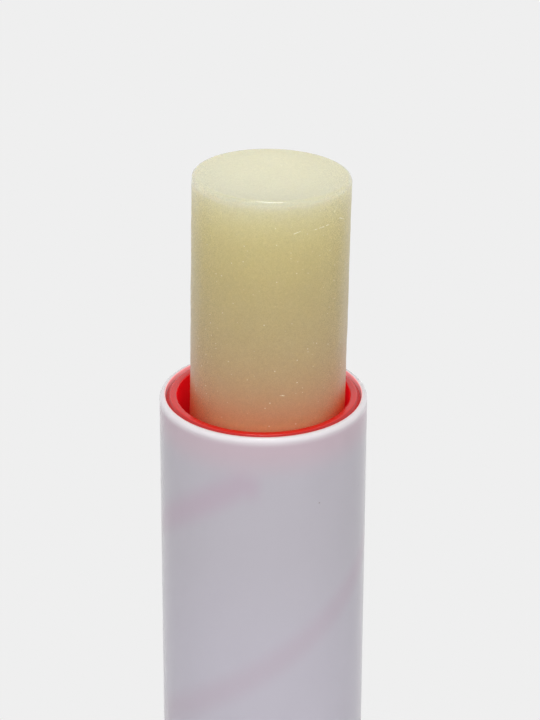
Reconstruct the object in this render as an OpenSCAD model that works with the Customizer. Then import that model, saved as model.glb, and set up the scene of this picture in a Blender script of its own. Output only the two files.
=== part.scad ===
// Lip balm stick with a swivel lift.
// The base is held and the white sleeve is turned. The sleeve carries a cam sleeve with two
// helical slots. Two lugs on the carrier cup reach through the straight slots of the red guide
// tube into those helical slots, so the cup and the balm rise without turning.
// Millimetres. The origin is the centre of the base's underside, and +Z is up.
// It is drawn with the balm wound part of the way out.

/* [Balm] */
// Diameter of the balm stick
balm_d = 12.1; // [9:0.1:16]
// Rounding of the balm's top edge
balm_edge = 0.5; // [0.1:0.1:1.5]
// How far the balm's flat top stands above the sleeve's rim
balm_show = 18.4; // [4:0.1:26]

/* [Lift] */
// How far the flat top sinks below the rim when it is wound right down
balm_sunk = 0.7; // [0.5:0.1:4]
// How much further the balm can still be wound up
lift_left = 9.1; // [2:0.1:14]
// Rise of the helical slots in one full turn
lead = 35; // [26:1:44]
// Compass angle of the first lug, seen from above and counted from +X
lug_angle = -16.6; // [-180:0.1:180]

/* [Carrier cup] */
// Height of the cup
cup_h = 5.8; // [5:0.1:11]
// Wall of the cup
cup_wall = 0.55; // [0.4:0.01:1]
// Chamfer inside the cup's mouth
cup_chamfer = 0.2; // [0.1:0.05:0.3]
// Thickness of the cup's floor
cup_floor = 1.0; // [0.6:0.1:2]
// Gap between the balm and the cup
balm_fit = 0.02; // [0.01:0.01:0.1]
// Number of grip ribs inside the cup
rib_count = 6; // [3:1:12]
// Radius of each grip rib
rib_r = 0.3; // [0.15:0.05:0.5]
// Distance from the cup's mouth down to the tops of the ribs
rib_drop = 1.3; // [0.5:0.1:2]
// Diameter of the two lugs
lug_d = 1.8; // [1.2:0.1:2.4]
// Height of the lugs' centre above the underside of the cup
lug_rise = 1.8; // [1.3:0.1:3]
// Gap between the tips of the lugs and the sleeve
lug_tip_gap = 0.2; // [0.1:0.05:0.3]
// Gap all round a lug in its slots
lug_play = 0.05; // [0.03:0.01:0.1]

/* [Guide tube] */
// Gap between the cup and the guide tube
slide_play = 0.08; // [0.03:0.01:0.1]
// Wall of the guide tube
guide_wall = 0.45; // [0.35:0.01:0.8]
// Height of the flange at the mouth
flange_h = 2.6; // [1:0.1:4]
// Chamfer of the mouth's inner edge
mouth_chamfer = 0.1; // [0.05:0.01:0.3]
// Width of the flat crest ring
crest_w = 0.41; // [0.2:0.01:0.6]
// Drop of the shoulder from the crest to the sleeve's wall
shoulder_drop = 0.35; // [0.1:0.05:0.8]
// Rounding of the crest ring's outer edge
crest_round = 0.15; // [0.05:0.01:0.2]
// How far the crest ring lies below the rim
crest_drop = 0; // [0:0.05:0.5]
// Gap between the flange and the sleeve
flange_play = 0.06; // [0.03:0.01:0.1]

/* [Spiral sleeve] */
// Gap between the guide tube and the spiral sleeve
turn_play = 0.05; // [0.02:0.01:0.1]
// Wall of the spiral sleeve
spiral_wall = 0.39; // [0.3:0.01:0.8]
// Height of the closed ring above the slots
top_ring = 0.35; // [0.3:0.05:3]
// Level notch at the top of each slot, in degrees of turn, where the lugs park
park_turn = 9; // [3:1:15]
// Gap between the spiral sleeve's top and the flange
flange_gap = 0.1; // [0.05:0.05:0.3]

/* [Outer sleeve] */
// Gap between the spiral sleeve and the outer sleeve
press_fit = 0.01; // [0.01:0.01:0.05]
// Wall of the outer sleeve
sleeve_wall = 0.45; // [0.42:0.01:1]
// Rounding of the rim's outer edge
rim_round = 0.33; // [0.1:0.01:0.34]
// Rounding of the rim's inner edge
rim_inner_round = 0.06; // [0.03:0.01:0.1]
// How far the sleeve reaches down into the base
tuck = 5; // [3:0.5:7]
// Step in from the sleeve to its neck inside the base
neck_step = 0.18; // [0.16:0.01:0.2]
// Gap between the sleeve's shoulder and the top of the base
neck_gap = 0.1; // [0.05:0.05:0.3]
// Height of the foot that keeps the sleeve in the base
foot_h = 1.2; // [0.8:0.1:1.6]
// Number of keys by which the sleeve drives the spiral sleeve
key_count = 3; // [2:1:6]
// Width of each key
key_w = 1.6; // [1:0.1:2.5]
// How far each key reaches in from the sleeve's bore
key_reach = 0.3; // [0.2:0.05:0.35]
// Gap round each key in its notch
key_fit = 0.02; // [0.01:0.01:0.05]

/* [Base] */
// Height of the base
base_h = 18; // [14:0.5:30]
// How far the base stands out beyond the sleeve
base_step = 1.75; // [1.5:0.05:4]
// Wall of the base shell
base_wall = 1.0; // [0.8:0.05:1.2]
// Distance from the lugs' lowest place to the top of the base
run_out = 1.8; // [1.5:0.1:4]
// Rounding of the base's top edge
base_top_round = 0.8; // [0.2:0.1:1.2]
// Rounding of the base's bottom edge
base_foot_round = 0.4; // [0.1:0.1:0.8]
// Gap round the foot in the base
foot_gap = 0.2; // [0.1:0.05:0.3]
// Gap above the foot, under the base's collar
foot_rise = 0.2; // [0.1:0.05:0.3]
// Gap between the plug and the base shell
plug_fit = 0.02; // [0.01:0.01:0.05]
// Number of splines that keep the plug from turning in the base shell
spline_count = 4; // [2:1:8]
// Radius of each spline
spline_r = 0.45; // [0.3:0.05:0.6]
// Thickness of the plug's floor
plug_floor = 1.2; // [0.8:0.1:2]
// Height of the plug's stiffening ribs
plug_rib_h = 2; // [1:0.5:3]
// Number of the plug's stiffening ribs
plug_ribs = 6; // [3:1:12]
// Width of each stiffening rib
plug_rib_w = 0.8; // [0.5:0.1:1.5]
// Radius of the hub where the ribs meet
plug_hub_r = 2; // [1:0.1:4]
// Wall of the spigot inside the guide tube's end
spigot_wall = 0.8; // [0.5:0.05:1.5]
// Distance from the plug's top edge down to the top of the spigot
spigot_drop = 1; // [0:0.1:2]
// Gap between the guide tube's end and its socket
socket_fit = 0.02; // [0.01:0.01:0.05]
// Thickness of the disc that closes the underside
disc_h = 1.0; // [0.6:0.1:2]
// How far the disc lies above the base's bottom edge
disc_recess = 0.3; // [0.1:0.1:0.8]

/* [Friction ring] */
// Thickness of the ring's round section
ring_d = 0.8; // [0.5:0.05:1]
// Depth of the ring's groove in the plug
groove_depth = 0.15; // [0.1:0.05:0.25]
// Gap between the ring and the sleeve's foot
ring_gap = 0.04; // [0.02:0.01:0.1]

/* [Hidden] */
$fn = 96;

// Excess by which a cutter passes the face that it cuts
over = 0.5;

// Radii, stacked outwards from the balm
balm_r = balm_d / 2;
cup_bore = balm_r + balm_fit;
cup_r = cup_bore + cup_wall;
guide_bore = cup_r + slide_play;
guide_r = guide_bore + guide_wall;
spiral_bore = guide_r + turn_play;
spiral_r = spiral_bore + spiral_wall;
sleeve_bore = spiral_r + press_fit;
sleeve_r = sleeve_bore + sleeve_wall;
neck_r = sleeve_r - neck_step;
base_bore = sleeve_r;
base_r = sleeve_r + base_step;
base_inner_r = base_r - base_wall;
foot_r = base_inner_r - foot_gap;
flange_r = sleeve_bore - flange_play;
plug_r = base_inner_r - plug_fit;
lug_tip_r = sleeve_bore - lug_tip_gap;
lug_r = lug_d / 2;
slot_w = lug_d + 2 * lug_play;

// Heights, worked out from the travel of the lugs
travel_down = balm_show + balm_sunk;
travel = travel_down + lift_left;
lug_top_depth = crest_drop + flange_h + flange_gap + top_ring + slot_w / 2;
rim_z = base_h + run_out + travel + lug_top_depth;
crest_z = rim_z - crest_drop;
lug_top_z = rim_z - lug_top_depth;
lug_z = lug_top_z - lift_left;
lug_low_z = lug_z - travel_down;
cup_z = lug_z - lug_rise;
balm_z = cup_z + cup_floor;
balm_top_z = rim_z + balm_show;
spiral_top_z = crest_z - flange_h - flange_gap;

// Heights in the base
sleeve_z = base_h - tuck;
foot_top_z = sleeve_z + foot_h;
lip_z = foot_top_z + foot_rise;
spiral_z = sleeve_z + foot_rise;
ring_z = sleeve_z - ring_gap - ring_d / 2;
shelf_z = ring_z - ring_d / 2 + groove_depth;
ring_mid_r = (sleeve_bore + foot_r) / 2;
disc_top_z = disc_recess + disc_h;
plug_floor_z = disc_top_z + plug_rib_h;
socket_z = plug_floor_z + plug_floor;
spigot_top_z = shelf_z - spigot_drop;
spigot_r = guide_bore - socket_fit;

// Waste at a corner, which leaves an edge rounded to radius r
module corner_waste(r) {
    difference() {
        square(r + over);
        circle(r);
    }
}

// A peg that points outwards along +X from radius r1 to radius r2
module radial_peg(r, r1, r2) {
    translate([r1, 0, 0])
        rotate([0, 90, 0])
            cylinder(r = r, h = r2 - r1);
}

// Places its children at both lugs
module at_lugs() {
    for (half = [0, 180])
        rotate([0, 0, lug_angle + half])
            children();
}

// The helical cutter that opens one slot of the cam.
// Each station is a cross-section square to the helix, so the slot is as wide as a straight one
// and its ends close on round pegs. The path starts at +X, at the lug's lowest place, and ends in
// a level notch, where the balm can't push the cup back down.
cam_step = 6;
cam_in_r = spiral_bore - over;
cam_out_r = spiral_r + over;
cam_mid_r = (spiral_bore + spiral_r) / 2;
cam_slope = atan(lead / (2 * PI * cam_mid_r));
cam_turn = 360 * travel / lead;
cam_stations = ceil(cam_turn / cam_step);

// Point of the cutter at radius r, turned by t degrees, on the upper (1) or lower (-1) edge
function cam_point(r, t, edge) =
    let (shift = edge * slot_w / 2 * sin(cam_slope) / cam_mid_r * 180 / PI)
    [r * cos(t - shift), r * sin(t - shift), lead * t / 360 + edge * slot_w / 2 * cos(cam_slope)];

function cam_station(t) = [
    cam_point(cam_in_r, t, -1),
    cam_point(cam_out_r, t, -1),
    cam_point(cam_out_r, t, 1),
    cam_point(cam_in_r, t, 1)
];

module helical_slot() {
    points = [for (i = [0 : cam_stations]) each cam_station(cam_turn * i / cam_stations)];
    last = 4 * cam_stations;
    sides = [for (i = [0 : cam_stations - 1], k = [0 : 3])
        let (a = 4 * i + k, b = 4 * i + (k + 1) % 4)
        each [[a, b, b + 4], [a, b + 4, a + 4]]];
    polyhedron(points, concat([[3, 2, 1, 0]], sides, [[last, last + 1, last + 2, last + 3]]));
    for (t = [0, cam_turn])
        translate([0, 0, lead * t / 360])
            rotate([0, 0, t])
                radial_peg(slot_w / 2, cam_in_r, cam_out_r);
    translate([0, 0, travel])
        rotate([0, 0, cam_turn])
            park_notch();
}

// The level end of a slot, from +X on
module park_notch() {
    rotate_extrude(angle = park_turn)
        translate([cam_in_r, -slot_w / 2])
            square([cam_out_r - cam_in_r, slot_w]);
    rotate([0, 0, park_turn])
        radial_peg(slot_w / 2, cam_in_r, cam_out_r);
}

// The keys inside the sleeve's foot. They enter notches in the spiral sleeve's lower edge,
// which are larger all round by gap.
module drive_keys(gap) {
    root = sleeve_wall / 2;
    for (i = [0 : key_count - 1])
        rotate([0, 0, 360 / key_count * i])
            translate([sleeve_bore - key_reach - gap, -key_w / 2 - gap, sleeve_z])
                cube([key_reach + root + gap, key_w + 2 * gap, foot_h + gap]);
}

// The white sleeve: a thin straight tube with a rounded rim, a neck that turns in the base's
// collar, and a foot that keeps it there
module outer_sleeve() {
    color([0.86, 0.85, 0.88]) {
        rotate_extrude()
            difference() {
                union() {
                    translate([sleeve_bore, base_h + neck_gap])
                        square([sleeve_wall, rim_z - base_h - neck_gap]);
                    translate([sleeve_bore, sleeve_z])
                        square([neck_r - sleeve_bore, tuck + over]);
                    translate([sleeve_bore, sleeve_z])
                        square([foot_r - sleeve_bore, foot_h]);
                }
                translate([sleeve_r - rim_round, rim_z - rim_round])
                    corner_waste(rim_round);
                translate([sleeve_bore + rim_inner_round, rim_z - rim_inner_round])
                    mirror([1, 0])
                        corner_waste(rim_inner_round);
            }
        drive_keys(0);
    }
}

// The cam: a thin tube with two helical slots, half a turn apart. Its rings above and below
// the slots hold it together.
module spiral_sleeve() {
    slot_start = lug_angle - 360 * travel_down / lead;
    color([0.93, 0.92, 0.94])
    difference() {
        translate([0, 0, spiral_z])
            cylinder(r = spiral_r, h = spiral_top_z - spiral_z);
        translate([0, 0, spiral_z - over])
            cylinder(r = spiral_bore, h = spiral_top_z - spiral_z + 2 * over);
        for (half = [0, 180])
            translate([0, 0, lug_low_z])
                rotate([0, 0, slot_start + half])
                    helical_slot();
        drive_keys(key_fit);
    }
}

// The red tube that keeps the cup from turning. The flange with its crest ring closes the
// mouth. The straight slots run out at the lower end, where the cup goes in.
// The crest's outer edge is rounded: the outline cuts the corner off where the round begins and
// ends, and a circle fills it again.
crest_edge_r = guide_bore + mouth_chamfer + crest_w;
shoulder_turn = atan(shoulder_drop / (flange_r - crest_edge_r));
round_reach = crest_round * tan(shoulder_turn / 2);

module guide_outline() {
    polygon([
        [guide_bore, socket_z],
        [guide_r, socket_z],
        [guide_r, crest_z - flange_h],
        [flange_r, crest_z - flange_h],
        [flange_r, crest_z - shoulder_drop],
        [crest_edge_r + round_reach * cos(shoulder_turn), crest_z - round_reach * sin(shoulder_turn)],
        [crest_edge_r - round_reach, crest_z],
        [guide_bore + mouth_chamfer, crest_z],
        [guide_bore, crest_z - mouth_chamfer]
    ]);
    translate([crest_edge_r - round_reach, crest_z - crest_round])
        circle(r = crest_round);
}

module guide_tube() {
    color([0.85, 0.13, 0.12])
    difference() {
        rotate_extrude()
            guide_outline();
        at_lugs() {
            translate([0, -slot_w / 2, socket_z - over])
                cube([guide_r + over, slot_w, lug_top_z - socket_z + over]);
            translate([0, 0, lug_top_z])
                radial_peg(slot_w / 2, guide_bore - over, guide_r + over);
        }
    }
}

// The grip ribs stand half out of the cup's wall. The balm is cast round them.
module grip_ribs(r) {
    rib_h = cup_h - cup_floor - rib_drop;
    for (i = [0 : rib_count - 1])
        rotate([0, 0, lug_angle + 360 / rib_count * (i + 0.5)])
            translate([cup_bore, 0, balm_z])
                cylinder(r = r, h = rib_h + r - rib_r);
}

// The cup that carries the balm, with its two lugs
module carrier_cup() {
    color([0.85, 0.13, 0.12]) {
        rotate_extrude()
            polygon([
                [0, cup_z],
                [cup_r, cup_z],
                [cup_r, cup_z + cup_h],
                [cup_bore + cup_chamfer, cup_z + cup_h],
                [cup_bore, cup_z + cup_h - cup_chamfer],
                [cup_bore, balm_z],
                [0, balm_z]
            ]);
        intersection() {
            grip_ribs(rib_r);
            translate([0, 0, balm_z])
                cylinder(r = cup_r, h = cup_h);
        }
        at_lugs()
            translate([0, 0, lug_z])
                radial_peg(lug_r, cup_bore, lug_tip_r);
    }
}

// The stick of balm, with the grooves that the cup's ribs leave in its foot
module balm() {
    color([0.80, 0.75, 0.55])
    difference() {
        rotate_extrude()
            difference() {
                translate([0, balm_z])
                    square([balm_r, balm_top_z - balm_z]);
                translate([balm_r - balm_edge, balm_top_z - balm_edge])
                    corner_waste(balm_edge);
            }
        grip_ribs(rib_r + balm_fit);
    }
}

// The round splines inside the base shell, and the grooves for them in the plug
module splines(r) {
    for (i = [0 : spline_count - 1])
        rotate([0, 0, 360 / spline_count * (i + 0.5)])
            translate([base_inner_r, 0, disc_top_z])
                cylinder(r = r, h = shelf_z - disc_top_z);
}

// The grip: an open shell whose thick collar holds the sleeve's foot down
module base_shell() {
    color([0.90, 0.90, 0.92]) {
        rotate_extrude()
            difference() {
                translate([base_bore, 0])
                    square([base_r - base_bore, base_h]);
                translate([base_bore - over, -over])
                    square([base_inner_r - base_bore + over, lip_z + over]);
                translate([base_r - base_top_round, base_h - base_top_round])
                    corner_waste(base_top_round);
                translate([base_r - base_foot_round, base_foot_round])
                    mirror([0, 1])
                        corner_waste(base_foot_round);
            }
        splines(spline_r);
    }
}

// The core pressed into the base: a floor with ribs below it, a socket and a spigot that grip
// the guide tube's end, and two keys that fill the foot of the tube's slots
module base_plug() {
    color([0.80, 0.80, 0.80])
    difference() {
        union() {
            translate([0, 0, disc_top_z])
                difference() {
                    cylinder(r = plug_r, h = shelf_z - disc_top_z);
                    translate([0, 0, -over])
                        cylinder(r = guide_r + socket_fit, h = plug_rib_h + over);
                    translate([0, 0, socket_z - disc_top_z])
                        cylinder(r = guide_r + socket_fit, h = shelf_z);
                }
            translate([0, 0, disc_top_z])
                cylinder(r = plug_hub_r, h = plug_rib_h);
            for (i = [0 : plug_ribs - 1])
                rotate([0, 0, 360 / plug_ribs * i])
                    translate([0, -plug_rib_w / 2, disc_top_z])
                        cube([guide_r + over, plug_rib_w, plug_rib_h]);
            difference() {
                translate([0, 0, plug_floor_z])
                    cylinder(r = spigot_r, h = spigot_top_z - plug_floor_z);
                translate([0, 0, socket_z])
                    cylinder(r = spigot_r - spigot_wall, h = base_h);
            }
            at_lugs()
                translate([spigot_r - spigot_wall / 2, socket_fit - slot_w / 2, plug_floor_z])
                    cube([guide_r + over - spigot_r + spigot_wall / 2, slot_w - 2 * socket_fit,
                        spigot_top_z - plug_floor_z]);
        }
        splines(spline_r + plug_fit);
        translate([0, 0, ring_z])
            rotate_extrude()
                translate([ring_mid_r, 0])
                    circle(ring_d / 2);
    }
}

// The soft ring that makes the sleeve stay where it is turned
module friction_ring() {
    color([0.25, 0.25, 0.27])
    translate([0, 0, ring_z])
        rotate_extrude()
            translate([ring_mid_r, 0])
                circle(ring_d / 2);
}

// The plain disc that closes the underside
module bottom_disc() {
    color([0.90, 0.90, 0.92])
    translate([0, 0, disc_recess])
        cylinder(r = plug_r, h = disc_h);
}

outer_sleeve();
spiral_sleeve();
guide_tube();
carrier_cup();
balm();
base_shell();
base_plug();
friction_ring();
bottom_disc();
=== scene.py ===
# %% [markdown]
# # A lip balm stick with a swivel lift
#
# The stick stands upright. Its milky sleeve turns on a white base, and a red guide tube inside carries
# the balm up through the mouth. The measured solids come first, as a fixed frame, and every finish and
# every softer shape is built around them. The camera's side is -Y, and +Z is up.

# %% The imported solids
import math

import bpy
from mathutils import Matrix, Vector, noise


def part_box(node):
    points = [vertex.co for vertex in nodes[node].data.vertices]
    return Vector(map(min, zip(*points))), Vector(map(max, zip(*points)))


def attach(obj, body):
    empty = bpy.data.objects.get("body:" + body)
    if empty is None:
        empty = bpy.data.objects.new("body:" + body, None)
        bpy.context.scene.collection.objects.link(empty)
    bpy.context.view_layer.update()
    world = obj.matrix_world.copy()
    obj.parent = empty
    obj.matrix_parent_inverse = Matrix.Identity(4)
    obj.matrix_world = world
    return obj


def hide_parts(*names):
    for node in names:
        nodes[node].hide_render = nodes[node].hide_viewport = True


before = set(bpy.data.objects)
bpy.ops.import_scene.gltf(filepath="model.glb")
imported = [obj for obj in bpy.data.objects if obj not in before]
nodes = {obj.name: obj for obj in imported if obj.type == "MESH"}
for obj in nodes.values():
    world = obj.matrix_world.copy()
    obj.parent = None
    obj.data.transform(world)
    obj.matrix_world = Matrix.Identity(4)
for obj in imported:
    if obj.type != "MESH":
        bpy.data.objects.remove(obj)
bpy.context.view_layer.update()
scene = bpy.context.scene
MM = 0.001
print("solids:", ", ".join(sorted(nodes)))

# %% [markdown]
# ## The camera
#
# A camera could be set by eye, but two circles of known size fix it better. The ellipse of the rim and
# the ellipse of the balm's top give the pitch, the distance and the length of the lens, and the
# leaning verticals give the small roll. The sizes below come from that fit. The lens is long, so the
# stick's sides stay almost parallel.

# %% Where the camera stands
RIM_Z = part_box("outer_sleeve")[1].z
CAMERA_PITCH = math.radians(25.244)
CAMERA_ROLL = math.radians(0.202)
CAMERA_DISTANCE = 221.2 * MM
CAMERA_RIGHT = 0.502 * MM
TARGET_ABOVE_RIM = 2.808 * MM

back = Vector((0, -math.cos(CAMERA_PITCH), math.sin(CAMERA_PITCH)))
level_right = Vector((1, 0, 0))
level_up = Vector((0, math.sin(CAMERA_PITCH), math.cos(CAMERA_PITCH)))
right = math.cos(CAMERA_ROLL) * level_right + math.sin(CAMERA_ROLL) * level_up
up = math.cos(CAMERA_ROLL) * level_up - math.sin(CAMERA_ROLL) * level_right
target = Vector((CAMERA_RIGHT, 0, RIM_Z + TARGET_ABOVE_RIM))
print("the camera looks at, in mm:", [round(part / MM, 1) for part in target])

# %% The camera and its lens
FRAME_HEIGHT_PX = 720
FOCAL_PX = 2872
SENSOR = 36.0
NEAREST_SEEN = 5 * MM
FURTHEST_SEEN = 20.0

camera_data = bpy.data.cameras.new("camera")
camera_data.sensor_width = SENSOR
camera_data.lens = FOCAL_PX * SENSOR / FRAME_HEIGHT_PX
camera_data.clip_start = NEAREST_SEEN
camera_data.clip_end = FURTHEST_SEEN
camera = bpy.data.objects.new("camera", camera_data)
turn = Matrix((right, up, back)).transposed().to_4x4()
camera.matrix_world = Matrix.Translation(target + back * CAMERA_DISTANCE) @ turn
scene.collection.objects.link(camera)
scene.camera = camera
print("lens in mm:", round(camera_data.lens, 1))

# %% [markdown]
# ## Wiring helpers
#
# Every finish here is made of shader nodes. Adding each node by hand takes several lines, so a few
# helpers do it: one feeds a socket from a link or a number, and the others add one kind of node and
# return its result. A formula then reads almost as it does on paper.

# %% Helpers for sums
def feed(tree, socket, source):
    """Links the socket to another node's output, or sets it to a plain value."""
    if isinstance(source, bpy.types.NodeSocket):
        tree.links.new(source, socket)
    else:
        socket.default_value = source


def calc(tree, operation, *sources):
    """One Math node on links or numbers."""
    node = tree.nodes.new("ShaderNodeMath")
    node.operation = operation
    for socket, source in zip(node.inputs, sources):
        feed(tree, socket, source)
    return node.outputs["Value"]


def fade(tree, value, start, end, first=0.0, last=1.0):
    """A smooth step: first up to start, last from end on."""
    node = tree.nodes.new("ShaderNodeMapRange")
    node.interpolation_type = "SMOOTHSTEP"
    names = ("Value", "From Min", "From Max", "To Min", "To Max")
    for name, source in zip(names, (value, start, end, first, last)):
        feed(tree, node.inputs[name], source)
    return node.outputs["Result"]


print("helpers for sums:", feed.__name__, calc.__name__, fade.__name__)

# %% Falling off, and distances
def falling(tree, value, reach):
    """1 at zero, falling away by e for each reach."""
    return calc(tree, "EXPONENT", calc(tree, "DIVIDE", calc(tree, "MAXIMUM", value, 0.0), -reach))


def hypotenuse(tree, across, along):
    """The distance that two lengths at right angles make."""
    squares = [calc(tree, "POWER", length, 2.0) for length in (across, along)]
    return calc(tree, "SQRT", calc(tree, "ADD", *squares))


print("left of a falling value after one reach:", round(math.exp(-1), 2))

# %% Helpers for colours
def mix(tree, factor, first, second, mode="MIX"):
    """Mixes two colours. With MULTIPLY, the second tints the first as far as the factor says."""
    node = tree.nodes.new("ShaderNodeMix")
    node.data_type = "RGBA"
    node.blend_type = mode
    feed(tree, node.inputs["Factor"], factor)
    feed(tree, node.inputs["A"], first)
    feed(tree, node.inputs["B"], second)
    return node.outputs["Result"]


def print_colour(red, green, blue):
    """A colour read off a print, 0 to 255 a channel, as the linear colour that Blender mixes."""
    def linear(value):
        share = value / 255
        return share / 12.92 if share <= 0.04045 else ((share + 0.055) / 1.055) ** 2.4
    return (linear(red), linear(green), linear(blue), 1.0)


print("mid grey in linear light:", round(print_colour(128, 128, 128)[0], 3))

# %% Helpers for places
def sized(tree, place, factor):
    """Scales a place vector by a number."""
    node = tree.nodes.new("ShaderNodeVectorMath")
    node.operation = "MULTIPLY"
    feed(tree, node.inputs[0], place)
    feed(tree, node.inputs[1], (factor,) * 3)
    return node.outputs["Vector"]


def split_place(tree, place):
    """The x, y and z of a place or of a direction."""
    node = tree.nodes.new("ShaderNodeSeparateXYZ")
    feed(tree, node.inputs["Vector"], place)
    return node.outputs["X"], node.outputs["Y"], node.outputs["Z"]


def lumps(tree, place, scale, detail=2.0):
    """A Noise texture whose lumps are about 1 / scale of the place's units apart."""
    node = tree.nodes.new("ShaderNodeTexNoise")
    feed(tree, node.inputs["Vector"], place)
    feed(tree, node.inputs["Scale"], scale)
    feed(tree, node.inputs["Detail"], detail)
    return node.outputs["Fac"]


print("helpers for places:", sized.__name__, split_place.__name__, lumps.__name__)

# %% [markdown]
# ## Floor and light
#
# The stick stands in a pale studio. A wide even sky lights it from everywhere, and one large soft lamp
# on the camera's side gives its front a little more than its back. That lamp makes no highlight,
# because one so wide would only lay a haze on wax and milky plastic. A small lamp straight above the
# stick draws the thin bright lines along the edges. Further back it would miss the front of the mouth,
# which the balm would then shade. Both lamps are Suns with wide discs, which light a floor evenly
# however far it goes, and sky and lamps together give a level surface about the brightness that its
# colour says.
#
# The backdrop is one even tone with no horizon. The camera and the stick's gloss see the sky in the
# floor's colour, and past the stick's shadow the floor shows the camera that same colour as a plain
# glow. Close to the stick it stays a real floor and keeps the shadow.

# %% Paint for the floor
BACKDROP = print_colour(239, 239, 239)
BLACK = (0.0, 0.0, 0.0, 1.0)
SHADOW_KEPT = 22 * MM
SHADOW_GONE = 38 * MM


def floor_paint():
    """Real paint close to the stick, and a plain glow further off, for the camera alone."""
    material = bpy.data.materials.new("floor_paint")
    material.use_nodes = True
    tree = material.node_tree
    shader = tree.nodes["Principled BSDF"]
    from_stick = tree.nodes.new("ShaderNodeVectorMath")
    from_stick.operation = "LENGTH"
    feed(tree, from_stick.inputs[0], tree.nodes.new("ShaderNodeTexCoord").outputs["Object"])
    far = fade(tree, from_stick.outputs["Value"], SHADOW_KEPT, SHADOW_GONE)
    seen = tree.nodes.new("ShaderNodeLightPath").outputs["Is Camera Ray"]
    backdrop = calc(tree, "MULTIPLY", far, seen)
    feed(tree, shader.inputs["Base Color"], mix(tree, backdrop, BACKDROP, BLACK))
    feed(tree, shader.inputs["Emission Color"], mix(tree, backdrop, BLACK, BACKDROP))
    shader.inputs["Emission Strength"].default_value = 1.0
    shader.inputs["Roughness"].default_value = 1.0
    shader.inputs["Specular IOR Level"].default_value = 0.0
    return material


paint = floor_paint()
print("finish:", paint.name)

# %% The floor
FLOOR_REACH = 6.0


def pale_floor():
    mesh = bpy.data.meshes.new("floor")
    corners = [(x * FLOOR_REACH, y * FLOOR_REACH, 0.0) for x, y in ((-1, -1), (1, -1), (1, 1), (-1, 1))]
    mesh.from_pydata(corners, [], [(0, 1, 2, 3)])
    mesh.materials.append(paint)
    floor = bpy.data.objects.new("floor", mesh)
    scene.collection.objects.link(floor)


pale_floor()
print("the floor's side in m:", 2 * FLOOR_REACH)

# %% The sky
SKY_LEVEL = 0.47


def even_sky():
    """The same light from everywhere, which the camera and the gloss see in the floor's colour."""
    world = bpy.data.worlds.new("studio")
    world.use_nodes = True
    tree = world.node_tree
    rays = tree.nodes.new("ShaderNodeLightPath")
    seen = calc(tree, "MAXIMUM", rays.outputs["Is Camera Ray"], rays.outputs["Is Glossy Ray"])
    seen = calc(tree, "MAXIMUM", seen, rays.outputs["Is Transmission Ray"])
    shown_extra = calc(tree, "MULTIPLY", seen, BACKDROP[0] - SKY_LEVEL)
    background = tree.nodes["Background"]
    background.inputs["Color"].default_value = (1, 1, 1, 1)
    feed(tree, background.inputs["Strength"], calc(tree, "ADD", shown_extra, SKY_LEVEL))
    scene.world = world


even_sky()
print("the sky lights at", SKY_LEVEL, "and shows at", round(BACKDROP[0], 2))

# %% The two lamps
FRONT_LEVEL = 0.36
FRONT_HEIGHT = math.radians(45)
FRONT_DISC = math.radians(60)
TOP_LEVEL = 0.17
TOP_HEIGHT = math.radians(91)
TOP_DISC = math.radians(20)


def soft_lamp(name, level, height, disc):
    """A Sun over the camera's side, or behind the stick when its height is past 90 degrees.
    Its level is the brightness that it alone gives to a level white surface."""
    data = bpy.data.lights.new(name, "SUN")
    data.angle = disc
    data.energy = level * math.pi / math.sin(height)
    lamp = bpy.data.objects.new(name, data)
    towards = Vector((0, -math.cos(height), math.sin(height)))
    lamp.rotation_mode = "QUATERNION"
    lamp.rotation_quaternion = towards.to_track_quat("Z", "Y")
    scene.collection.objects.link(lamp)
    return lamp


front_lamp = soft_lamp("front_lamp", FRONT_LEVEL, FRONT_HEIGHT, FRONT_DISC)
front_lamp.visible_glossy = False
top_lamp = soft_lamp("top_lamp", TOP_LEVEL, TOP_HEIGHT, TOP_DISC)
scene.view_settings.view_transform = "Standard"
print("lamp energies:", round(front_lamp.data.energy, 3), round(top_lamp.data.energy, 3))
print("light on a level surface:", round(SKY_LEVEL + FRONT_LEVEL + TOP_LEVEL, 2))

# %% [markdown]
# ## Surface effects that several finishes share
#
# Moulded plastic and poured wax are never perfectly even. Three small effects cover most of it: a soft
# cloudiness in the colour, a fine grain in the gloss and the surface, and tiny specks. They could be
# painted as image textures, but those would have to be unwrapped and would blur close up. Each is
# built once as a node group that works in millimetres, with inputs for its size and strength, so that
# one group serves wax, plastic and rubber with different numbers.

# %% Group building
def open_group(name, inputs, outputs):
    """A shader node group with float or vector inputs, given as name: default, and its outputs."""
    group = bpy.data.node_groups.new(name, "ShaderNodeTree")
    for label, default in inputs.items():
        kind = "NodeSocketVector" if default is None else "NodeSocketFloat"
        socket = group.interface.new_socket(label, in_out="INPUT", socket_type=kind)
        if default is not None:
            socket.default_value = default
    for label in outputs:
        group.interface.new_socket(label, in_out="OUTPUT", socket_type="NodeSocketFloat")
    return group, group.nodes.new("NodeGroupInput"), group.nodes.new("NodeGroupOutput")


def swing(group, wave, amount, middle):
    """Turns a noise of 0 to 1 into a value that swings by the amount to each side of the middle."""
    centred = calc(group, "SUBTRACT", wave, 0.5)
    change = calc(group, "MULTIPLY", centred, amount)
    return calc(group, "MULTIPLY_ADD", change, 2.0, middle)


def use_group(tree, group, **values):
    """Places a group in a material, with a link or a value for each named input."""
    node = tree.nodes.new("ShaderNodeGroup")
    node.node_tree = group
    for label, source in values.items():
        feed(tree, node.inputs[label], source)
    return node.outputs


print("node groups so far:", len(bpy.data.node_groups))

# %% Cloudiness: slow shifts of shade
CLOUD_DETAIL = 3.0


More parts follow.
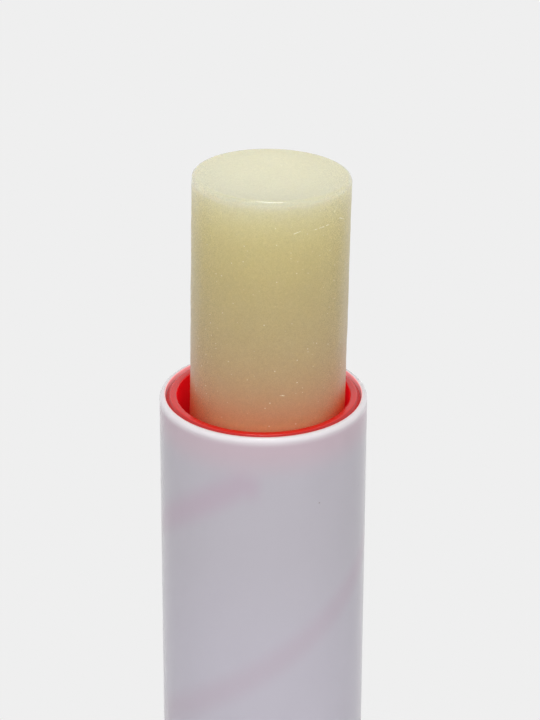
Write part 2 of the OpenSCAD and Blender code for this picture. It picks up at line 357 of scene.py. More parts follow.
def build_cloudiness():
    inputs = {"Place": None, "Size": 4.0, "Amount": 0.03}
    group, given, result = open_group("cloudiness", inputs, ["Shade"])
    scale = calc(group, "DIVIDE", 1.0, given.outputs["Size"])
    wave = lumps(group, given.outputs["Place"], scale, CLOUD_DETAIL)
    feed(group, result.inputs["Shade"], swing(group, wave, given.outputs["Amount"], 1.0))
    return group


cloudiness = build_cloudiness()
print("group:", cloudiness.name)

# %% Fine grain: roughness and height
GRAIN_DETAIL = 4.0


def build_fine_grain():
    inputs = {"Place": None, "Size": 0.2, "Base": 0.4, "Spread": 0.1}
    group, given, result = open_group("fine_grain", inputs, ["Roughness", "Height"])
    scale = calc(group, "DIVIDE", 1.0, given.outputs["Size"])
    grain = lumps(group, given.outputs["Place"], scale, GRAIN_DETAIL)
    roughness = swing(group, grain, given.outputs["Spread"], given.outputs["Base"])
    feed(group, result.inputs["Roughness"], roughness)
    feed(group, result.inputs["Height"], grain)
    return group


fine_grain = build_fine_grain()
print("group:", fine_grain.name)

# %% Specks: tiny dots, each with its own size
SMALLEST_SPECK = 0.4
MORE_AT_MOST = 0.8
SPECK_OUTSIDE = 1.3
SPECK_INSIDE = 0.5


def build_specks():
    inputs = {"Place": None, "Spacing": 1.0, "Size": 0.06, "Share": 0.5}
    group, given, result = open_group("specks", inputs, ["Mask"])
    cells = group.nodes.new("ShaderNodeTexVoronoi")
    cells.feature = "F1"
    feed(group, cells.inputs["Vector"], given.outputs["Place"])
    feed(group, cells.inputs["Scale"], calc(group, "DIVIDE", 1.0, given.outputs["Spacing"]))
    distance = calc(group, "MULTIPLY", cells.outputs["Distance"], given.outputs["Spacing"])
    split = group.nodes.new("ShaderNodeSeparateColor")
    feed(group, split.inputs["Color"], cells.outputs["Color"])
    kept = calc(group, "LESS_THAN", split.outputs["Red"], given.outputs["Share"])
    share_of_size = calc(group, "MULTIPLY_ADD", split.outputs["Green"], MORE_AT_MOST, SMALLEST_SPECK)
    radius = calc(group, "MULTIPLY", given.outputs["Size"], share_of_size)
    outside = calc(group, "MULTIPLY", radius, SPECK_OUTSIDE)
    dot = fade(group, distance, outside, calc(group, "MULTIPLY", radius, SPECK_INSIDE))
    feed(group, result.inputs["Mask"], calc(group, "MULTIPLY", dot, kept))
    return group


specks = build_specks()
print("group:", specks.name)

# %% [markdown]
# ## A new finish
#
# All finishes start the same way: a Principled shader, and a place vector in millimetres that is fixed
# to the piece, so that the pattern turns and lifts with it. From here on, every length is given in
# millimetres. The bump goes in last. An edge that is sharp in the solids catches no light, though a
# moulded edge always does, so a Bevel node can round it by a tenth of a millimetre, in the shading
# alone.

# %% Starting a finish
def new_finish(name):
    """A material with its tree, its shader and the piece's own millimetres."""
    material = bpy.data.materials.new(name)
    material.use_nodes = True
    tree = material.node_tree
    place = sized(tree, tree.nodes.new("ShaderNodeTexCoord").outputs["Object"], 1 / MM)
    return material, tree, tree.nodes["Principled BSDF"], place


def clouded(tree, colour, place, size, amount):
    """The colour with slow shifts of shade."""
    shade = use_group(tree, cloudiness, Place=place, Size=size, Amount=amount)["Shade"]
    return mix(tree, 1.0, colour, shade, "MULTIPLY")


print("places in a finish are scaled by:", round(1 / MM))

# %% Grain, bump and soft edges
BEVEL_SAMPLES = 8


def bump(tree, shader, height, depth_mm, soft_edge_mm=0.0):
    """Raises the surface by height times depth_mm, and softens sharp edges, in the shading alone."""
    node = tree.nodes.new("ShaderNodeBump")
    node.inputs["Distance"].default_value = depth_mm * MM
    feed(tree, node.inputs["Height"], height)
    if soft_edge_mm > 0:
        soft = tree.nodes.new("ShaderNodeBevel")
        soft.samples = BEVEL_SAMPLES
        soft.inputs["Radius"].default_value = soft_edge_mm * MM
        feed(tree, node.inputs["Normal"], soft.outputs["Normal"])
    feed(tree, shader.inputs["Normal"], node.outputs["Normal"])


def grained(tree, shader, place, size, base, spread, depth_mm, soft_edge_mm=0.0):
    """Grain in the gloss and in the surface."""
    grain = use_group(tree, fine_grain, Place=place, Size=size, Base=base, Spread=spread)
    feed(tree, shader.inputs["Roughness"], grain["Roughness"])
    bump(tree, shader, grain["Height"], depth_mm, soft_edge_mm)


print("samples for a soft edge:", BEVEL_SAMPLES)

# %% Light inside the material, and a clear coat
COAT_ROUGHNESS = 0.12


def scatter(shader, weight, depth_mm, tint):
    """Light that enters the material and comes out nearby."""
    shader.inputs["Subsurface Weight"].default_value = weight
    shader.inputs["Subsurface Scale"].default_value = depth_mm * MM
    shader.inputs["Subsurface Radius"].default_value = tint


def shine_through(tree, shader, share, colour):
    """Light that comes through a thin wall, as a faint glow of its own."""
    feed(tree, shader.inputs["Emission Color"], mix(tree, share, BLACK, colour))
    shader.inputs["Emission Strength"].default_value = 1.0


def slanting_gloss(tree, start, full, weight):
    """A coat's weight that rises where the surface is seen at a slant."""
    slant = tree.nodes.new("ShaderNodeLayerWeight").outputs["Facing"]
    return fade(tree, slant, start, full, 0.0, weight)


def coat(tree, shader, weight, coat_ior, under_it):
    """A clear coat of the weight given, and how strongly the material under it reflects."""
    feed(tree, shader.inputs["Coat Weight"], weight)
    shader.inputs["Coat IOR"].default_value = coat_ior
    shader.inputs["Coat Roughness"].default_value = COAT_ROUGHNESS
    shader.inputs["Specular IOR Level"].default_value = under_it


print("roughness of a coat:", COAT_ROUGHNESS)

# %% [markdown]
# ## The milky sleeve
#
# The sleeve is thin translucent plastic over a white cam sleeve. Two helical slots in the cam let the
# red guide tube shine through as soft pink bands, and the tube's flange makes a pink zone under the
# rim. Real light through the wall would give the bands slowly and with much noise, so they are painted
# from the slots' own formula: the height of a slot grows with the angle, one lead for each turn. At its
# top each slot runs level for a few degrees, and so does its band.
#
# The rim is paler, because light enters the wall at its edge, and the rim's inner edge glows a little
# red beside the tube. Milky plastic scatters so much light that its gloss shows only at a slant. A
# coat brings that out: Layer Weight raises it towards the sleeve's sides, and it is full on the rim.
# One fleck of dust sits on the wall.

# %% Glow of the climbing slots
CAM_LEAD = 35.0
CAM_STARTS = 2
SLOT_LOW_END = 19.8
SLOT_HALF_HEIGHT = 1.19
NOTCH_TURN = math.radians(9.0)
BAND_ENDS_FROM = -6.0
BAND_ENDS_TO = -4.0
GLOW_BLUR = 1.05


def stripe(tree, away, half_width):
    """1 in the middle of a stripe, fading to 0 across its edge."""
    return fade(tree, away, half_width + GLOW_BLUR, half_width - GLOW_BLUR)


def helix_glow(tree, past_top, above_top, z):
    """The climbing part of each slot. It ends at its notch, where lower down the other slot goes on."""
    climb = calc(tree, "MULTIPLY", past_top, CAM_LEAD / math.tau)
    height = calc(tree, "SUBTRACT", above_top, climb)
    half_pitch = CAM_LEAD / CAM_STARTS / 2
    away = calc(tree, "ABSOLUTE", calc(tree, "WRAP", height, half_pitch, -half_pitch))
    low = fade(tree, z, SLOT_LOW_END - GLOW_BLUR, SLOT_LOW_END + GLOW_BLUR)
    near_top = fade(tree, above_top, BAND_ENDS_FROM, BAND_ENDS_TO)
    ended = calc(tree, "MULTIPLY", near_top, fade(tree, past_top, 0.0, NOTCH_TURN))
    kept = calc(tree, "MULTIPLY", low, calc(tree, "SUBTRACT", 1.0, ended))
    return calc(tree, "MULTIPLY", stripe(tree, away, SLOT_HALF_HEIGHT), kept)


print("the bands lie apart by mm:", CAM_LEAD / CAM_STARTS)

# %% Glow of the notches, and of the whole slots
SLOT_TOP_HEIGHT = 48.0
SLOT_TOP_ANGLE = math.radians(77.0)
NOTCH_HALF_HEIGHT = 0.95
NOTCH_END_FROM = 0.7
NOTCH_END_TO = 1.7


def notch_glow(tree, past_top, above_top):
    """The level notch in which each slot ends at its top."""
    level = stripe(tree, calc(tree, "ABSOLUTE", above_top), NOTCH_HALF_HEIGHT)
    begun = fade(tree, past_top, -NOTCH_TURN / 2, 0.0)
    not_ended = fade(tree, past_top, NOTCH_TURN * NOTCH_END_TO, NOTCH_TURN * NOTCH_END_FROM)
    return calc(tree, "MULTIPLY", level, calc(tree, "MULTIPLY", begun, not_ended))


def slot_glow(tree, x, y, z):
    """1 over the middle of a slot, 0 away from it."""
    angle = calc(tree, "SUBTRACT", calc(tree, "ARCTAN2", y, x), SLOT_TOP_ANGLE)
    half_share = math.pi / CAM_STARTS
    past_top = calc(tree, "WRAP", angle, half_share, -half_share)
    above_top = calc(tree, "SUBTRACT", z, SLOT_TOP_HEIGHT)
    helix = helix_glow(tree, past_top, above_top, z)
    return calc(tree, "MAXIMUM", helix, notch_glow(tree, past_top, above_top))


print("the slots' tops in mm:", SLOT_TOP_HEIGHT)

# %% Tones of the wall
WALL = print_colour(185, 181, 189)
WALL_LOW = print_colour(188, 184, 194)
LOW_TONE_FROM = 44.0
LOW_TONE_FULL = 30.0
SLOT_PINK = print_colour(184, 171, 183)
BAND_FAINTEST = 0.55
BAND_FAINT_HEIGHT = 34.0
BAND_FULL_HEIGHT = 46.0


def wall_colour(tree, x, y, z):
    """The milky wall and the slots' bands, which are fainter further down."""
    wall = mix(tree, fade(tree, z, LOW_TONE_FROM, LOW_TONE_FULL), WALL, WALL_LOW)
    strength = fade(tree, z, BAND_FAINT_HEIGHT, BAND_FULL_HEIGHT, BAND_FAINTEST, 1.0)
    return mix(tree, calc(tree, "MULTIPLY", slot_glow(tree, x, y, z), strength), wall, SLOT_PINK)


print("the wall in linear light:", [round(channel, 3) for channel in WALL[:3]])

# %% Tones of the rim
RIM_MM = RIM_Z / MM
BORE = 7.6
BORE_FADE_FROM = 0.08
BORE_FADE_TO = 0.02
# Painted light: pink from the tube's flange through the wall, a paler rim, and red light from the tube
# on the inner wall.
FLANGE_PINK = print_colour(194, 177, 186)
FLANGE_FULL = 1.0
FLANGE_GONE = 3.9
WALL_RIM = print_colour(226, 222, 226)
PALE_RIM_DEPTH = 0.80
RIM_INSIDE = print_colour(228, 136, 134)


def on_bore(tree, radius, bore):
    """1 on the inner wall of a tube, 0 a little further out."""
    return fade(tree, radius, bore + BORE_FADE_FROM, bore + BORE_FADE_TO)


def rim_colour(tree, colour, below_rim, inside):
    """Painted light in the wall: the flange's pink seen through it, the paler rim where light enters its
    edge, and red light on the inner wall.
    """
    colour = mix(tree, fade(tree, below_rim, FLANGE_GONE, FLANGE_FULL), colour, FLANGE_PINK)
    colour = mix(tree, fade(tree, below_rim, PALE_RIM_DEPTH, 0.0), colour, WALL_RIM)
    return mix(tree, inside, colour, RIM_INSIDE)


print("the rim's height in mm:", round(RIM_MM, 2))

# %% Dust on the wall
FLECK_ANGLE = math.radians(-57.7)
FLECK_HEIGHT = 46.0
FLECK_RADIUS = 0.055
FLECK_OUTSIDE = 1.4
FLECK_INSIDE = 0.6
DUST = print_colour(150, 140, 140)
FINE_DUST_SHOWS = 0.5


def dust_fleck(tree, x, y, z):
    """The one dark fleck of dust that the photograph shows on the wall."""
    aside = calc(tree, "SUBTRACT", calc(tree, "ARCTAN2", y, x), FLECK_ANGLE)
    upwards = calc(tree, "SUBTRACT", z, FLECK_HEIGHT)
    distance = hypotenuse(tree, calc(tree, "MULTIPLY", aside, BORE), upwards)
    return fade(tree, distance, FLECK_RADIUS * FLECK_OUTSIDE, FLECK_RADIUS * FLECK_INSIDE)


def dusty(tree, colour, place, x, y, z):
    """The colour with fine dust and the one fleck."""
    fine = use_group(tree, specks, Place=place, Spacing=4.0, Size=0.05, Share=0.25)["Mask"]
    fine = calc(tree, "MULTIPLY", fine, FINE_DUST_SHOWS)
    return mix(tree, calc(tree, "MAXIMUM", fine, dust_fleck(tree, x, y, z)), colour, DUST)


print("the fleck lies below the rim by mm:", round(RIM_MM - FLECK_HEIGHT, 1))

# %% Milky plastic
THROUGH_WALL = (0.54, 0.26, 0.27, 1.0)
THROUGH_WALL_REACH = 0.7
SIDE_GLOSS = 0.50
SIDE_GLOSS_FROM = 0.55
SIDE_GLOSS_FULL = 0.88
RIM_GLOSS_FULL = 0.3
RIM_GLOSS_GONE = 0.7


def milky_plastic():
    material, tree, shader, place = new_finish("milky_plastic")
    x, y, z = split_place(tree, place)
    below_rim = calc(tree, "SUBTRACT", RIM_MM, z)
    inside = on_bore(tree, hypotenuse(tree, x, y), BORE)
    colour = rim_colour(tree, wall_colour(tree, x, y, z), below_rim, inside)
    colour = clouded(tree, colour, place, size=5.0, amount=0.02)
    feed(tree, shader.inputs["Base Color"], dusty(tree, colour, place, x, y, z))
    through = calc(tree, "MULTIPLY", inside, falling(tree, below_rim, THROUGH_WALL_REACH))
    shine_through(tree, shader, through, THROUGH_WALL)
    side_gloss = slanting_gloss(tree, SIDE_GLOSS_FROM, SIDE_GLOSS_FULL, SIDE_GLOSS)
    rim_gloss = fade(tree, below_rim, RIM_GLOSS_GONE, RIM_GLOSS_FULL)
    coat(tree, shader, calc(tree, "MAXIMUM", side_gloss, rim_gloss), coat_ior=1.7, under_it=0.15)
    grained(tree, shader, place, size=0.25, base=0.30, spread=0.06, depth_mm=0.004, soft_edge_mm=0.14)
    scatter(shader, weight=0.35, depth_mm=0.4, tint=(1.0, 0.9, 0.95))
    return material


milky = milky_plastic()
print("finish:", milky.name, "with", len(milky.node_tree.nodes), "nodes")

# %% [markdown]
# ## The red plastic
#
# The guide tube and the carrier cup are moulded in one glossy red. The gloss is what tells it from
# paint: the crest ring reflects the pale room and looks salmon, while the same red turns deep inside
# the bore, where it sees only itself. So one saturated red does for both, and the shader does the
# rest. Two things need help. Light leaks through the thin tube near its mouth, so the bore has a faint
# red glow there that dies away further down. The groove between the crest and the sleeve lies in
# shade, and takes a slightly darker red.

# %% Glossy red plastic
RED = print_colour(216, 24, 19)
RED_IN_GROOVE = print_colour(182, 19, 16)
CREST_EDGE = 7.21
CREST_FADE = 0.06
TUBE_BORE = 6.7
THROUGH_RED = (0.30, 0.0022, 0.0045, 1.0)
THROUGH_RED_REACH = 5.0


def red_plastic():
    material, tree, shader, place = new_finish("red_plastic")
    x, y, z = split_place(tree, place)
    radius = hypotenuse(tree, x, y)
    in_groove = fade(tree, radius, CREST_EDGE, CREST_EDGE + CREST_FADE)
    colour = mix(tree, in_groove, RED, RED_IN_GROOVE)
    feed(tree, shader.inputs["Base Color"], clouded(tree, colour, place, size=3.0, amount=0.05))
    near_mouth = falling(tree, calc(tree, "SUBTRACT", RIM_MM, z), THROUGH_RED_REACH)
    through = calc(tree, "MULTIPLY", on_bore(tree, radius, TUBE_BORE), near_mouth)
    shine_through(tree, shader, through, THROUGH_RED)
    grained(tree, shader, place, size=0.3, base=0.16, spread=0.05, depth_mm=0.003, soft_edge_mm=0.15)
    scatter(shader, weight=0.25, depth_mm=0.5, tint=(1.0, 0.15, 0.1))
    return material


red = red_plastic()
print("finish:", red.name, "with", len(red.node_tree.nodes), "nodes")

# %% [markdown]
# ## The wax
#
# Balm is cloudy wax. Light enters its flat top and fades on the way down, so the stick is palest at the
# top and browner below, and red light from the tube tints the last millimetres above the mouth. The
# first belongs to the balm and lifts with it. The second belongs to the mouth, so it is measured from
# the guide tube with a Texture Coordinate node that points at the tube, and it stays at the mouth when
# the balm moves. It is redder on the flanks, which look into the bore, and in the last half
# millimetre the crest throws some of its light up onto the wax.
#
# Poured wax is full of fine grain. Towards the flanks, where the surface is seen at a slant, the grain
# is painted stronger and the pale specks denser, as painted glints. The stick has been handled too: it
# has pale specks and a few short scratches near the top. The scratches could be drawn on an image. Here
# each is a line between two places, given as degrees round the stick and millimetres down from its top,
# and a noise breaks it up. A coat gives the moulded edge its gloss and the sides a faint sheen.

# %% Places on the wax
from types import SimpleNamespace

SURFACE_SPARE = 0.04
BALM_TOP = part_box("balm")[1].z / MM
BALM_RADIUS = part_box("balm")[1].x / MM - SURFACE_SPARE
LEAN_AT_TOP = 0.60
LEAN_HALFWAY = 0.40
TOP_FACE_POWER = 4.0


def wax_places(tree, place, tube):
    """Where a point of the wax lies: on the stick, over the mouth, on its top or on its side."""
    x, y, z = split_place(tree, place)
    from_tube = tree.nodes.new("ShaderNodeTexCoord")
    from_tube.object = tube
    tube_z = split_place(tree, sized(tree, from_tube.outputs["Object"], 1 / MM))[2]
    up_facing = split_place(tree, tree.nodes.new("ShaderNodeNewGeometry").outputs["Normal"])[2]
    top_face = calc(tree, "POWER", calc(tree, "MAXIMUM", up_facing, 0.0), TOP_FACE_POWER)
    return SimpleNamespace(
        place=place, x=x, y=y, up_facing=up_facing, top_face=top_face,
        side=calc(tree, "SUBTRACT", 1.0, top_face),
        below_top=calc(tree, "SUBTRACT", BALM_TOP, z),
        above_mouth=calc(tree, "SUBTRACT", tube_z, RIM_MM),
        to_flank=calc(tree, "ABSOLUTE", calc(tree, "SUBTRACT", x, LEAN_HALFWAY)))


print("the balm's radius in mm:", round(BALM_RADIUS, 2))

# %% Colour by depth
WAX_DEEP = print_colour(175, 159, 124)
WAX_MID = print_colour(213, 199, 124)
WAX_TOP = print_colour(225, 221, 193)
MID_REACH = 6.4
TOP_REACH = 1.8


def wax_by_depth(tree, here):
    """Palest at the top, and browner further down."""
    colour = mix(tree, falling(tree, here.below_top, MID_REACH), WAX_DEEP, WAX_MID)
    return mix(tree, falling(tree, here.below_top, TOP_REACH), colour, WAX_TOP)


print("reaches of the top's light in mm:", TOP_REACH, MID_REACH)

# %% Light from the mouth
GLOW_TINT = (1.20, 0.44, 0.38, 1.0)
GLOW_REACH = 2.7
FLANK_TINT = (1.12, 0.66, 0.52, 1.0)
FLANK_REACH = 1.6
FLANK_FROM = 4.4
FLANK_FULL = 6.2
FOOT_LIFT = (1.18, 2.15, 2.2, 1.0)
FOOT_REACH = 0.6
FOOT_AT_BACK = 0.45
FOOT_BACK_Y = -3.0
FOOT_FRONT_Y = -5.8


def mouth_light(tree, colour, here):
    """Red light from the tube, redder on the flanks, and the crest's light on the last of the wax."""
    glow = calc(tree, "MULTIPLY", falling(tree, here.above_mouth, GLOW_REACH), here.side)
    colour = mix(tree, glow, colour, GLOW_TINT, "MULTIPLY")
    flank = fade(tree, calc(tree, "ABSOLUTE", here.x), FLANK_FROM, FLANK_FULL)
    flank = calc(tree, "MULTIPLY", flank, falling(tree, here.above_mouth, FLANK_REACH))
    colour = mix(tree, flank, colour, FLANK_TINT, "MULTIPLY")
    foot = calc(tree, "MULTIPLY", falling(tree, here.above_mouth, FOOT_REACH), here.side)
    foot = calc(tree, "MULTIPLY", foot, fade(tree, here.y, FOOT_BACK_Y, FOOT_FRONT_Y, FOOT_AT_BACK, 1.0))
    return mix(tree, foot, colour, FOOT_LIFT, "MULTIPLY")


print("reach of the red light in mm:", GLOW_REACH)

# %% Painted shade of the top and its edge
# Painted shade: the band just under the top is darkened in the colour, less at the flanks, and so is the
# rounded edge.
SIDE_SHADE = (0.88, 0.90, 0.95, 1.0)
SIDE_SHADE_FROM = 2.5
SIDE_SHADE_TO = 5.5
SIDE_SHADE_AT_FLANK = 0.1
TOP_SHADE = (1.025, 1.03, 0.92, 1.0)
EDGE_SHADE = (0.91, 0.92, 0.92, 1.0)
EDGE_OUTER = (0.05, 0.35)
EDGE_INNER = (1.0, 0.85)
# Painted shade on the top face, growing with the distance from a place a little behind its middle.
PALEST_BEHIND = 2.0
PAINTED_SHADE_PER_MM2 = 0.0033


def painted_top_shade(tree, colour, here):
    """Painted shade: a darker band just under the top and a darker rounded edge, with a tint on the top
    face.
    """
    near_top = calc(tree, "MULTIPLY", falling(tree, here.below_top, TOP_REACH), here.side)
    in_front = fade(tree, here.to_flank, SIDE_SHADE_FROM, SIDE_SHADE_TO, 1.0, SIDE_SHADE_AT_FLANK)
    near_top = calc(tree, "MULTIPLY", near_top, in_front)
    colour = mix(tree, near_top, colour, SIDE_SHADE, "MULTIPLY")
    colour = mix(tree, here.top_face, colour, TOP_SHADE, "MULTIPLY")
    outer = fade(tree, here.up_facing, *EDGE_OUTER)
    on_edge = calc(tree, "MULTIPLY", outer, fade(tree, here.up_facing, *EDGE_INNER))
    return mix(tree, on_edge, colour, EDGE_SHADE, "MULTIPLY")


def painted_shade_outwards(tree, colour, here):
    """Painted shade: the top darkens outwards from its palest place, a little behind its middle."""
    aside = calc(tree, "POWER", calc(tree, "SUBTRACT", here.x, LEAN_AT_TOP), 2.0)
    forward = calc(tree, "POWER", calc(tree, "SUBTRACT", here.y, PALEST_BEHIND), 2.0)
    darkened = calc(tree, "MULTIPLY", calc(tree, "ADD", aside, forward), PAINTED_SHADE_PER_MM2)
    kept = calc(tree, "SUBTRACT", 1.0, calc(tree, "MULTIPLY", darkened, here.top_face))
    return mix(tree, 1.0, colour, kept, "MULTIPLY")


print("the top's rim is duller by:", round(BALM_RADIUS ** 2 * PAINTED_SHADE_PER_MM2, 2))

# %% One scratch
SCRATCH_HALF_WIDTH = 0.050
SCRATCH_CORE = 0.4


def scratch(tree, angle, depth, start, end):
    """A short straight scratch on the stick's side, between two places given as degrees and mm down."""
    first = (math.radians(start[0]) * BALM_RADIUS, start[1])
    across, down = math.radians(end[0]) * BALM_RADIUS - first[0], end[1] - first[1]
    length = math.hypot(across, down)
    right_by = calc(tree, "MULTIPLY_ADD", angle, BALM_RADIUS, -first[0])
    down_by = calc(tree, "SUBTRACT", depth, first[1])
    along = calc(tree, "MULTIPLY", down_by, down / length)
    along = calc(tree, "MULTIPLY_ADD", right_by, across / length, along)
    aside = calc(tree, "MULTIPLY", down_by, across / length)
    aside = calc(tree, "ABSOLUTE", calc(tree, "MULTIPLY_ADD", right_by, -down / length, aside))
    past_middle = calc(tree, "ABSOLUTE", calc(tree, "SUBTRACT", along, length / 2))
    line = fade(tree, aside, SCRATCH_HALF_WIDTH, SCRATCH_HALF_WIDTH * SCRATCH_CORE)
    return calc(tree, "MULTIPLY", line, fade(tree, past_middle, length / 2, length / 3))


print("a scratch's width in mm:", 2 * SCRATCH_HALF_WIDTH)

# %% All the scratches
SCRATCHES = (
    ((-13, 2.2), (-19, 2.45)),
    ((-26, 2.75), (-34, 2.35)),
    ((-27, 0.60), (-32, 0.95)),
    ((-36, 1.2), (-40, 1.75)),
    ((-44, 2.5), (-60, 2.62)),
    ((-69, 2.5), (-75, 2.68)),
    ((-80, 15.8), (-84, 15.7)),
)
SCRATCH_SHOWS = 0.8
BREAKS_PER_MM = 6.0
BROKEN_BELOW = 0.38
WHOLE_ABOVE = 0.52


def all_scratches(tree, here):
    """Every scratch on the side, broken up by a noise."""
    angle = calc(tree, "ARCTAN2", here.y, calc(tree, "SUBTRACT", here.x, LEAN_AT_TOP))
    found = 0.0
    for start, end in SCRATCHES:
        found = calc(tree, "MAXIMUM", found, scratch(tree, angle, here.below_top, start, end))
    whole = fade(tree, lumps(tree, here.place, BREAKS_PER_MM), BROKEN_BELOW, WHOLE_ABOVE)
    found = calc(tree, "MULTIPLY", found, calc(tree, "MULTIPLY", whole, here.side))
    return calc(tree, "MULTIPLY", found, SCRATCH_SHOWS)


print("scratches:", len(SCRATCHES))

# %% Grain and specks in the wax
# Towards the flanks, the stronger grain and the denser pale specks are partly painted glints.
GRAIN_IN_FRONT = 0.18
GRAIN_AT_FLANK = 0.62
GRAIN_FLANK = (3.0, 5.8)
SPECKS_IN_FRONT = 0.45
SPECKS_AT_FLANK = 0.9
SPECK_FLANK = (3.5, 6.0)
SPECK_SHOWS = 0.6
PALE_MARK_AND_GLINT = print_colour(240, 234, 212)


def wax_grain(tree, colour, here):
    """Slow clouds, a mottle and a fine grain, which is stronger at the flanks, where the extra is
    painted glints.
    """
    colour = clouded(tree, colour, here.place, size=2.5, amount=0.04)
    colour = clouded(tree, colour, here.place, size=0.3, amount=0.07)
    denser = fade(tree, here.to_flank, *GRAIN_FLANK, GRAIN_IN_FRONT, GRAIN_AT_FLANK)
    return clouded(tree, colour, here.place, size=0.09, amount=denser)


def marks_and_painted_glints(tree, colour, here):
    """Pale specks and scratches. The specks are denser at the flanks, where the extra are painted
    glints.
    """
    share = fade(tree, here.to_flank, *SPECK_FLANK, SPECKS_IN_FRONT, SPECKS_AT_FLANK)
    dots = use_group(tree, specks, Place=here.place, Spacing=0.40, Size=0.045, Share=share)["Mask"]
    dots = calc(tree, "MULTIPLY", dots, SPECK_SHOWS)
    return mix(tree, calc(tree, "MAXIMUM", dots, all_scratches(tree, here)), colour, PALE_MARK_AND_GLINT)


print("share of cells with a speck, in front and at the flanks:", SPECKS_IN_FRONT, SPECKS_AT_FLANK)

# %% Gloss of the wax
EDGE_GLOSS_FULL = 0.5
EDGE_GLOSS_GONE = 0.85
SHEEN = 0.26
SHEEN_FROM = 0.48
SHEEN_FULL = 0.66
SHEEN_AT_MOUTH = 0.3
SHEEN_LOW = 0.5
SHEEN_HIGH = 4.0


def wax_gloss(tree, shader, here):
    """Gloss on the moulded edge, and a sheen on the sides that is fainter beside the mouth."""
    edge_gloss = fade(tree, here.below_top, EDGE_GLOSS_GONE, EDGE_GLOSS_FULL)
    sheen = slanting_gloss(tree, SHEEN_FROM, SHEEN_FULL, SHEEN)
    over_mouth = fade(tree, here.above_mouth, SHEEN_LOW, SHEEN_HIGH, SHEEN_AT_MOUTH, 1.0)
    sheen = calc(tree, "MULTIPLY", sheen, over_mouth)
    coat(tree, shader, calc(tree, "MAXIMUM", edge_gloss, sheen), coat_ior=1.85, under_it=0.22)


print("the sheen's full weight:", SHEEN)

# %% Waxy balm
def waxy_balm(tube):
    material, tree, shader, place = new_finish("waxy_balm")
    here = wax_places(tree, place, tube)
    colour = mouth_light(tree, wax_by_depth(tree, here), here)
    colour = painted_shade_outwards(tree, painted_top_shade(tree, colour, here), here)
    colour = marks_and_painted_glints(tree, wax_grain(tree, colour, here), here)
    feed(tree, shader.inputs["Base Color"], colour)
    wax_gloss(tree, shader, here)
    grained(tree, shader, place, size=0.18, base=0.42, spread=0.10, depth_mm=0.008)
    scatter(shader, weight=0.6, depth_mm=0.9, tint=(1.0, 0.8, 0.5))
    return material


wax = waxy_balm(nodes["guide_tube"])
print("finish:", wax.name, "with", len(wax.node_tree.nodes), "nodes")

# %% [markdown]
# ## The plain plastics and the ring
#
# Base and disc are white satin plastic, the cam sleeve and the plug are plainer mouldings, and the ring
# is silicone. They differ by colour, gloss and grain alone, so one function makes all four finishes.

# %% Plain mouldings
MOULDING_MARK = (0.80, 0.78, 0.76, 1.0)
MARK_SHOWS = 0.6


def plain_moulding(name, colour, roughness, grain_size, bump_depth, cloud=0.02):
    """An even colour with faint clouds, a few darker specks and a fine grain."""
    material, tree, shader, place = new_finish(name)
    base = clouded(tree, colour, place, size=3.0, amount=cloud)
    dots = use_group(tree, specks, Place=place, Spacing=2.5, Size=0.05, Share=0.3)["Mask"]
    dots = calc(tree, "MULTIPLY", dots, MARK_SHOWS)
    feed(tree, shader.inputs["Base Color"], mix(tree, dots, base, MOULDING_MARK, "MULTIPLY"))
    grained(tree, shader, place, size=grain_size, base=roughness, spread=0.08, depth_mm=bump_depth)
    return material


cam_white = plain_moulding("cam_white", print_colour(238, 236, 240), 0.40, 0.30, 0.004)
base_white = plain_moulding("base_white", print_colour(238, 238, 241), 0.30, 0.25, 0.004)
plug_natural = plain_moulding("plug_natural", print_colour(226, 226, 224), 0.45, 0.35, 0.006)
silicone = plain_moulding("dark_silicone", print_colour(66, 66, 70), 0.62, 0.12, 0.006, cloud=0.06)
print("finishes:", ", ".join(sorted(finish.name for finish in bpy.data.materials)))

# %% [markdown]
# ## The balm's shape
#
# Among the solids the balm is a true cylinder, which is right for the lift. This stick was poured into
# a mould and then handled. Above the cup it leans a little to +X, its top is slanted, its edge is
# rounded, and its sides are uneven by a few hundredths of a millimetre. A cylinder could be sculpted,
# or displaced by a texture, but neither repeats exactly. Here a profile of rings goes round the axis,
# and each ring is then leaned, slanted and made uneven by a formula. Near the cup everything fades
# out, because the cup holds the foot upright and in the middle.

# %% Sizes of the poured stick
CUP_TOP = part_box("carrier_cup")[1].z / MM
BALM_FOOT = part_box("balm")[0].z / MM
SLANT_SPARE = 0.24
TOP_MIDDLE = BALM_TOP - SLANT_SPARE
EDGE_ROUND = 0.38
print("balm above the cup in mm:", round(TOP_MIDDLE - CUP_TOP, 2))

# %% The profile's rings
FOOT_SHARES = (0.25, 0.6, 0.97)
FIRST_RING = 0.2
CUP_STEP = 0.8
RING_STEP = 0.14
EDGE_STEPS = 9
TOP_SHRINK = 0.05
SMALLEST_RING = 0.15


def balm_profile():
    """Radius and height of each ring of points, from the middle of the foot to the middle of the top."""
    rings = [(BALM_RADIUS * share, BALM_FOOT) for share in FOOT_SHARES]
    height = BALM_FOOT + FIRST_RING
    while height < CUP_TOP:
        rings.append((BALM_RADIUS, height))
        height += CUP_STEP
    while height < TOP_MIDDLE - EDGE_ROUND:
        rings.append((BALM_RADIUS, height))
        height += RING_STEP
    for step in range(EDGE_STEPS + 1):
        turn_by = math.radians(90 * step / EDGE_STEPS)
        rings.append((BALM_RADIUS - EDGE_ROUND * (1 - math.cos(turn_by)),
                      TOP_MIDDLE - EDGE_ROUND * (1 - math.sin(turn_by))))
    radius = BALM_RADIUS - EDGE_ROUND
    while radius > 2 * SMALLEST_RING:
        radius -= max(RING_STEP, radius * TOP_SHRINK)
        rings.append((max(radius, SMALLEST_RING), TOP_MIDDLE))
    return rings


print("rings in the profile:", len(balm_profile()))

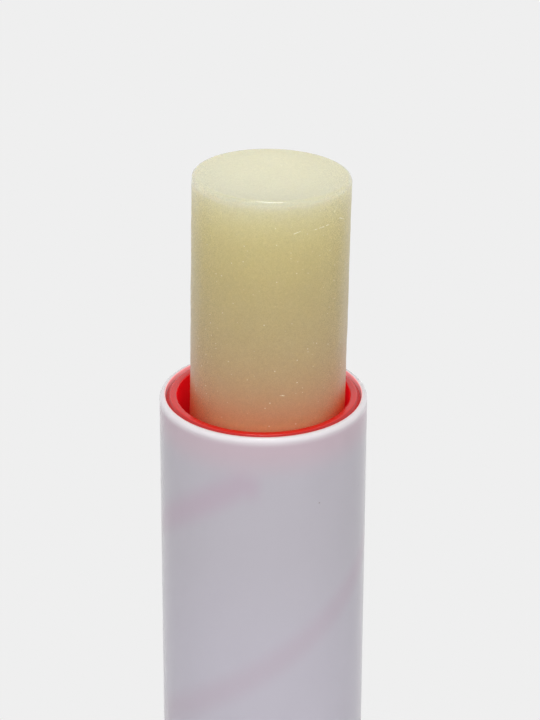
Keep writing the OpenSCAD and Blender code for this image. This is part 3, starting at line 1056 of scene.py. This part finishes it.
# %% Lean and slant
LEAN_AT_CUP = 0.185
BEND_LENGTH = 5.0
TILT_RIGHT = math.radians(1.15)
TILT_BACK = math.radians(1.57)
TILT_DEPTH = 6.0


def smooth(share):
    """A smooth step from 0 to 1."""
    share = min(1.0, max(0.0, share))
    return share * share * (3 - 2 * share)


def lean(height):
    """How far the balm's middle has moved to +X at a height. The cup keeps its foot in the middle."""
    share = (height - CUP_TOP) / (TOP_MIDDLE - CUP_TOP)
    straight = LEAN_AT_CUP + (LEAN_AT_TOP - LEAN_AT_CUP) * share
    return straight * smooth((height - CUP_TOP) / BEND_LENGTH)


def tilt(point):
    """How far the slanted top lifts a point of the stick, fading out below the top."""
    slope = math.tan(TILT_RIGHT) * point.x + math.tan(TILT_BACK) * point.y
    return -slope * smooth(1 - (TOP_MIDDLE - EDGE_ROUND - point.z) / TILT_DEPTH)


print("lean at the top in mm:", round(lean(TOP_MIDDLE), 2))

# %% One point of the poured surface
SWELL = 0.022
SWELLS_PER_MM = 0.45
RIPPLE = 0.010
RIPPLES_PER_MM = 1.7
FREED_OVER = 3.0


def unevenness(point):
    """How far the poured surface stands off the true cylinder, in mm."""
    return SWELL * noise.noise(point * SWELLS_PER_MM) + RIPPLE * noise.noise(point * RIPPLES_PER_MM)


def balm_point(radius, height, angle):
    """One point of a ring: round the axis, then made uneven, leaned and slanted."""
    out = Vector((math.cos(angle), math.sin(angle), 0))
    point = out * radius + Vector((0, 0, height))
    free = smooth((height - CUP_TOP) / FREED_OVER)
    point += out * unevenness(point) * free * radius / BALM_RADIUS
    return (point + Vector((lean(height), 0, tilt(point)))) * MM


right_side = balm_point(BALM_RADIUS, TOP_MIDDLE - EDGE_ROUND, 0.0)
print("right side just under the edge, in mm:", [round(part / MM, 2) for part in right_side])

# %% The mesh, and its ride on the carriage
SIDES = 288


def build_balm():
    """Rings of points joined by faces, with one face across each end."""
    points = [balm_point(radius, height, math.tau * side / SIDES)
              for radius, height in balm_profile() for side in range(SIDES)]
    rows = len(points) // SIDES
    faces = []
    for row in range(rows - 1):
        for side in range(SIDES):
            after = (side + 1) % SIDES
            low, high = row * SIDES, (row + 1) * SIDES
            faces.append((low + side, low + after, high + after, high + side))
    faces.append(tuple(reversed(range(SIDES))))
    faces.append(tuple(range((rows - 1) * SIDES, rows * SIDES)))
    mesh = bpy.data.meshes.new("balm_stick")
    mesh.from_pydata(points, [], faces)
    mesh.shade_smooth()
    balm = bpy.data.objects.new("balm_stick", mesh)
    scene.collection.objects.link(balm)
    return balm


balm_stick = build_balm()
balm_stick.data.materials.append(wax)
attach(balm_stick, "carriage")
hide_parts("balm")
print("balm points:", len(balm_stick.data.vertices))

# %% [markdown]
# ## Finishes onto the solids
#
# The other eight pieces are moulded plastic and rubber with true shapes, so they keep the exact solids
# and only need their finishes. The base's shell and disc share one white, and the cup is moulded in
# the tube's red. The hidden pieces are dressed too, since a turn or a cut view may show them.

# %% Dressing each piece
FINISHES = {
    "outer_sleeve": milky,
    "guide_tube": red,
    "carrier_cup": red,
    "spiral_sleeve": cam_white,
    "base_shell": base_white,
    "bottom_disc": base_white,
    "base_plug": plug_natural,
    "friction_ring": silicone,
}

for name, finish in FINISHES.items():
    for slot in nodes[name].material_slots:
        slot.material = finish
print("pieces dressed:", len(FINISHES))
